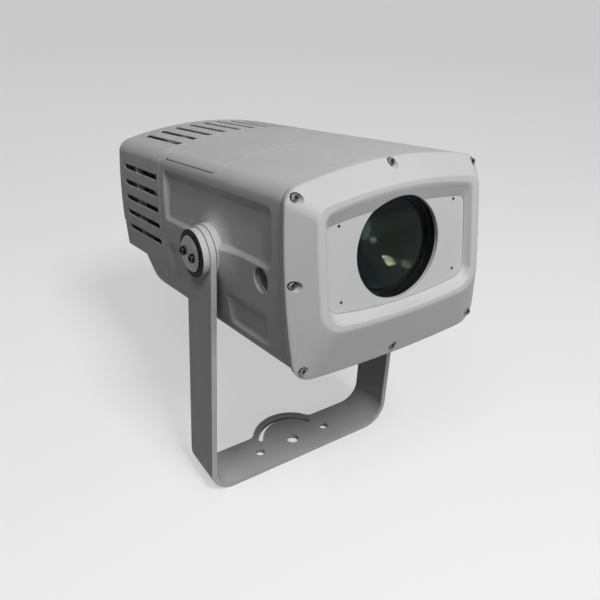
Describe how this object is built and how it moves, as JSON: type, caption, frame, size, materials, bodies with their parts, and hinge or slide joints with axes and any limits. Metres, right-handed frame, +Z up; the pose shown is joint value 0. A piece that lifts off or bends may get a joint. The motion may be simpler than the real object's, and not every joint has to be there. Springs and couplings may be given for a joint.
{
  "type": "gobo projector",
  "caption": "Outdoor gobo projector: crowned cast housing with a faceted front bezel and round lens, vented rear cover and a top access cover, tilting in a bent flat-bar yoke.",
  "frame": {"origin": "on the underside of the yoke's base, in the middle of its centre bolt hole, below the tilt axis", "axes": "+Z up along the yoke's arms, +X along the tilt axis to the right seen from behind the lens towards the light, -Y the way the light leaves"},
  "size_m": [0.2968, 0.4527, 0.4369],
  "materials": {
    "powder_coat": "light grey powder coat on cast aluminium, fine texture",
    "stainless": "turned stainless steel",
    "dark_steel": "oiled dark steel",
    "black_oxide": "black oxide, satin",
    "anodised": "matt black anodised aluminium",
    "bare_aluminium": "mill finish",
    "sheet_aluminium": "bent sheet, mill finish",
    "rubber": "moulded seal",
    "black_plastic": "moulded, matt",
    "coated_glass": "anti-reflection coated, polished",
    "gobo_glass": "dark coated glass",
    "circuit_board": "solder mask"
  },
  "bodies": {
    "yoke": {"yoke_bracket": "powder_coat", "pivot_collar_left": "powder_coat", "pivot_collar_right": "powder_coat"},
    "head": {"pivot_shaft_left": "stainless", "friction_washer_left": "rubber", "clamp_disc_left": "stainless", "clamp_screw_left_front": "black_oxide", "clamp_screw_left_rear": "black_oxide", "pivot_shaft_right": "stainless", "friction_washer_right": "rubber", "clamp_disc_right": "stainless", "clamp_screw_right_front": "black_oxide", "clamp_screw_right_rear": "black_oxide", "main_housing": "powder_coat", "front_bezel": "powder_coat", "bezel_gasket": "rubber", "lens_plate": "powder_coat", "rear_cover": "powder_coat", "top_cover_gasket": "rubber", "cable_gland": "black_plastic", "blanking_plug_left": "black_plastic", "blanking_plug_right": "black_plastic", "bezel_screw_1": "dark_steel", "bezel_screw_2": "dark_steel", "bezel_screw_3": "dark_steel", "bezel_screw_4": "dark_steel", "bezel_screw_5": "dark_steel", "bezel_screw_6": "dark_steel", "bezel_screw_7": "dark_steel", "bezel_screw_8": "dark_steel", "optical_bench": "sheet_aluminium", "lens_barrel": "anodised", "front_lens": "coated_glass", "condenser_holder": "anodised", "condenser_lens": "coated_glass", "focus_rod_left": "stainless", "focus_rod_right": "stainless", "focus_motor": "black_oxide", "gobo_motor": "black_oxide", "rear_bulkhead": "sheet_aluminium", "heat_sink": "bare_aluminium", "led_board": "circuit_board", "led_driver": "sheet_aluminium", "control_board": "circuit_board", "fan_frame_left": "black_plastic", "fan_frame_right": "black_plastic"},
    "cover": {"top_cover": "powder_coat"},
    "focus": {"focus_carriage": "anodised", "focus_lens": "coated_glass"},
    "lead_screw": {"focus_lead_screw": "stainless"},
    "gobo": {"gobo_wheel": "bare_aluminium", "gobo_shaft": "stainless", "gobo_glass_1": "gobo_glass", "gobo_glass_2": "gobo_glass", "gobo_glass_3": "gobo_glass"},
    "fan_left": {"fan_rotor_left": "black_plastic"},
    "fan_right": {"fan_rotor_right": "black_plastic"}
  },
  "joints": [
    {"name": "head_tilt", "type": "hinge", "parent": "yoke", "child": "head", "pos_m": [0, 0, 0.31425], "axis": [1, 0, 0], "range_deg": [-80.58, 99.42]},
    {"name": "cover_lift", "type": "slide", "parent": "head", "child": "cover", "axis": [0, 0.1637, 0.9865], "range_m": [0, 0.08]},
    {"name": "focus_travel", "type": "slide", "parent": "head", "child": "focus", "axis": [0, 0.9865, -0.1637], "range_m": [-0.02, 0.02]},
    {"name": "lead_screw_turn", "type": "hinge", "parent": "head", "child": "lead_screw", "pos_m": [0, 0.00757, 0.35989], "axis": [0, 0.9865, -0.1637], "range_deg": [-905, 905]},
    {"name": "gobo_turn", "type": "hinge", "parent": "head", "child": "gobo", "pos_m": [0, 0.0359, 0.28626], "axis": [0, 0.9865, -0.1637], "continuous": true},
    {"name": "fan_left_spin", "type": "hinge", "parent": "head", "child": "fan_left", "pos_m": [-0.048, 0.22965, 0.2944], "axis": [0, 0.9865, -0.1637], "continuous": true},
    {"name": "fan_right_spin", "type": "hinge", "parent": "head", "child": "fan_right", "pos_m": [0.048, 0.22965, 0.2944], "axis": [0, 0.9865, -0.1637], "continuous": true}
  ],
  "couplings": [
    {"joint": "lead_screw_turn", "follows": "focus_travel", "rad_per_m": 785.4}
  ]
}
